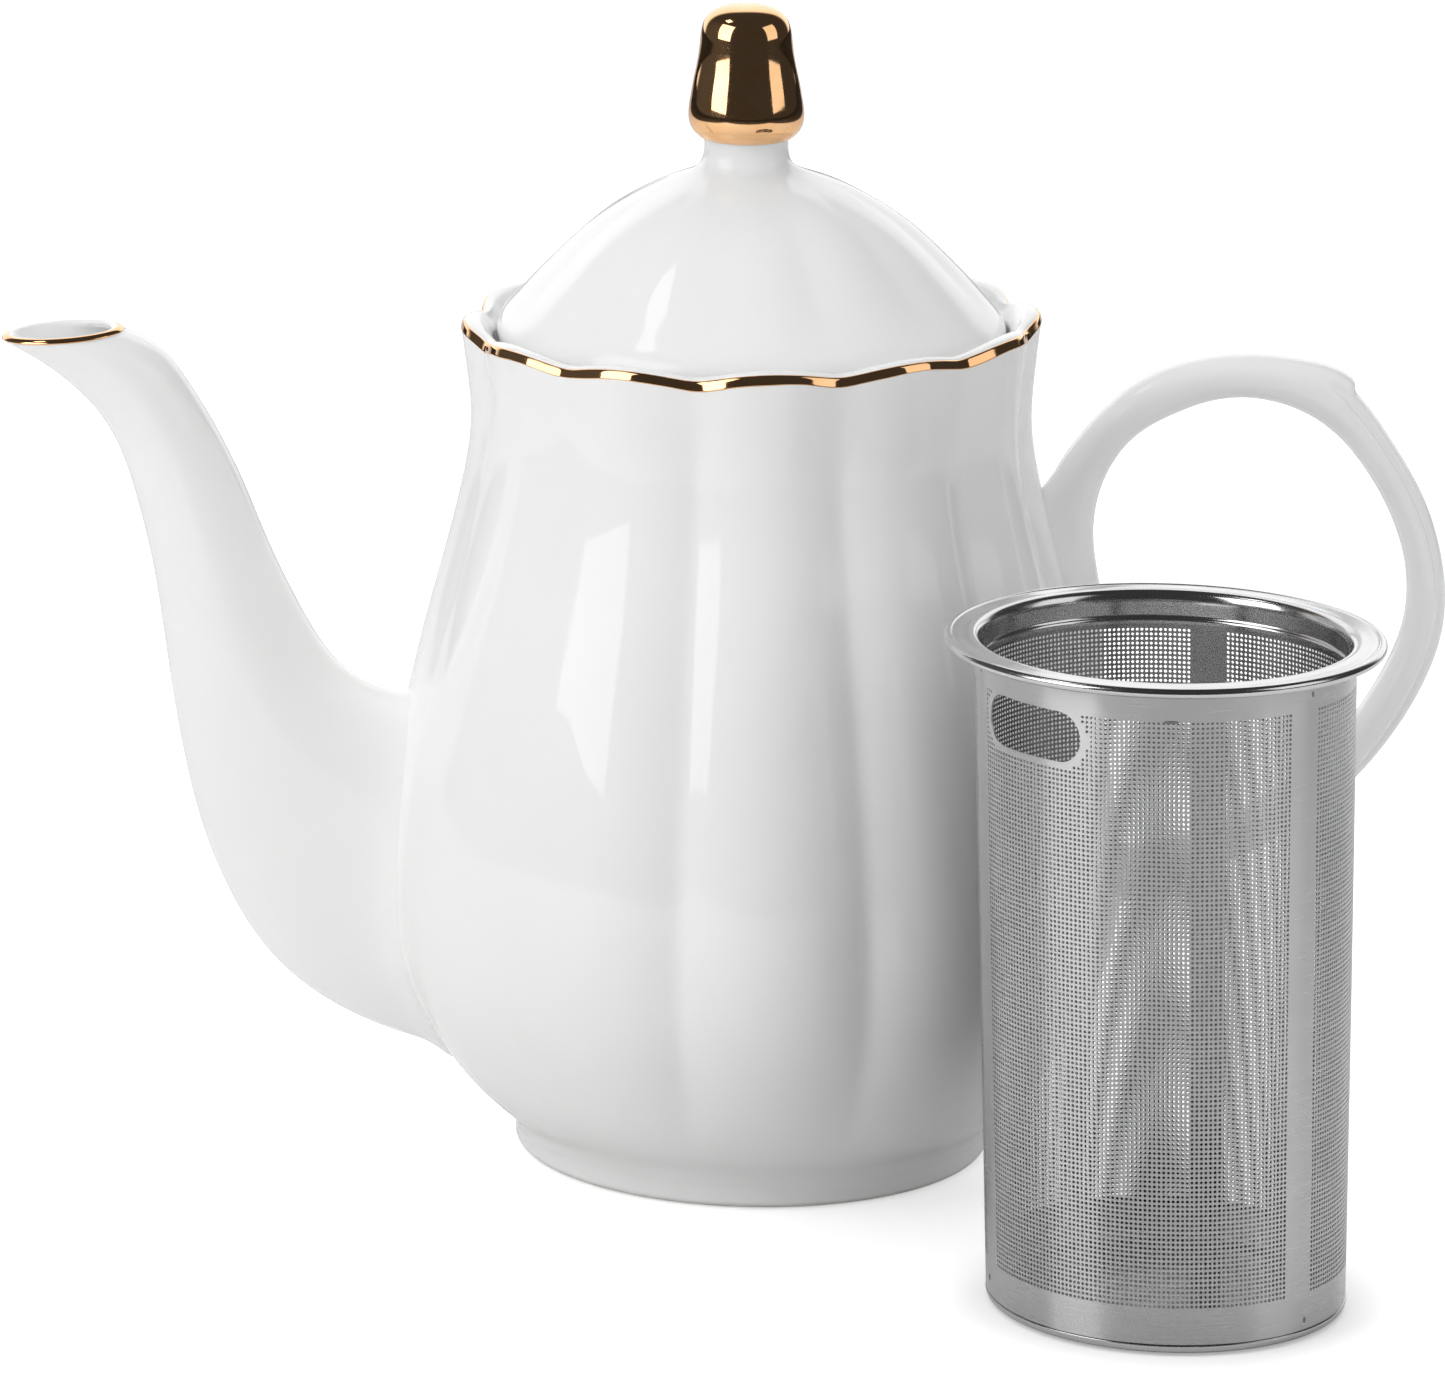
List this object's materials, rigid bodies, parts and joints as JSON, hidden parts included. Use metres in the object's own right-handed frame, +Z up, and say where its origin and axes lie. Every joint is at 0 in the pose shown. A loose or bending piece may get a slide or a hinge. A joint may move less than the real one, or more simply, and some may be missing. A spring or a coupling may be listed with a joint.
{
  "type": "teapot infuser",
  "caption": "Lobed white porcelain teapot with a gold-lined scalloped rim, lift-off lid with a gold knob, and a perforated steel infuser standing beside it.",
  "frame": {"origin": "on the table, at the centre of the footprint of the pot and the infuser together", "axes": "+Z up; +X from the spout to the handle; the infuser stands on the -Y side, below the handle"},
  "size_m": [0.2254, 0.168, 0.177],
  "materials": {
    "porcelain": "clear glossy glaze over white porcelain",
    "gold_lustre": "fired gold lustre, mirror bright",
    "polished_steel": "polished stainless steel",
    "perforated_steel": "satin stainless sheet, etched with fine round holes"
  },
  "bodies": {
    "pot": {"pot_body": "porcelain", "spout": "porcelain", "handle": "porcelain", "rim_gold_band": "gold_lustre", "spout_gold_band": "gold_lustre"},
    "lid": {"lid_shell": "porcelain", "lid_knob": "gold_lustre"},
    "infuser": {"infuser_flange": "polished_steel", "infuser_wall": "perforated_steel", "infuser_base": "polished_steel"}
  },
  "joints": [
    {"name": "lid_lift", "type": "slide", "parent": "pot", "child": "lid", "axis": [0, 0, 1], "range_m": [0, 0.08]},
    {"name": "infuser_lift", "type": "slide", "parent": "pot", "child": "infuser", "axis": [0, 0, 1], "range_m": [0, 0.15]}
  ]
}
